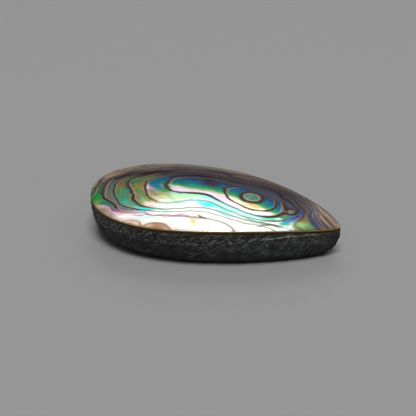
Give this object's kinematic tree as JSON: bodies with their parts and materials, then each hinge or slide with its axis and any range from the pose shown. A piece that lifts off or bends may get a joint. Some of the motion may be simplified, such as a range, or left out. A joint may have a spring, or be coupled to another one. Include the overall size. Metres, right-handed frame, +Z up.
{
  "type": "abalone shell cabochon",
  "caption": "Pear-shaped abalone shell cabochon, a polished nacre dome with swirling growth lines on a dark stone backing, lying on its flat base.",
  "frame": {"origin": "centre of the outline's box, on the plane of the flat base", "axes": "+X along the length from the round end to the tip, +Y across, +Z up through the dome"},
  "size_m": [0.045, 0.027, 0.0089],
  "materials": {
    "polished_nacre": "high polish, iridescent, with brown growth lines",
    "filled_resin": "ground matte, with pale mineral grit",
    "ground_slate": "ground, with slanting wheel scratches"
  },
  "bodies": {
    "root": {"shell_cap": "polished_nacre", "resin_filler": "filled_resin", "slate_backing": "ground_slate"}
  },
  "joints": []
}
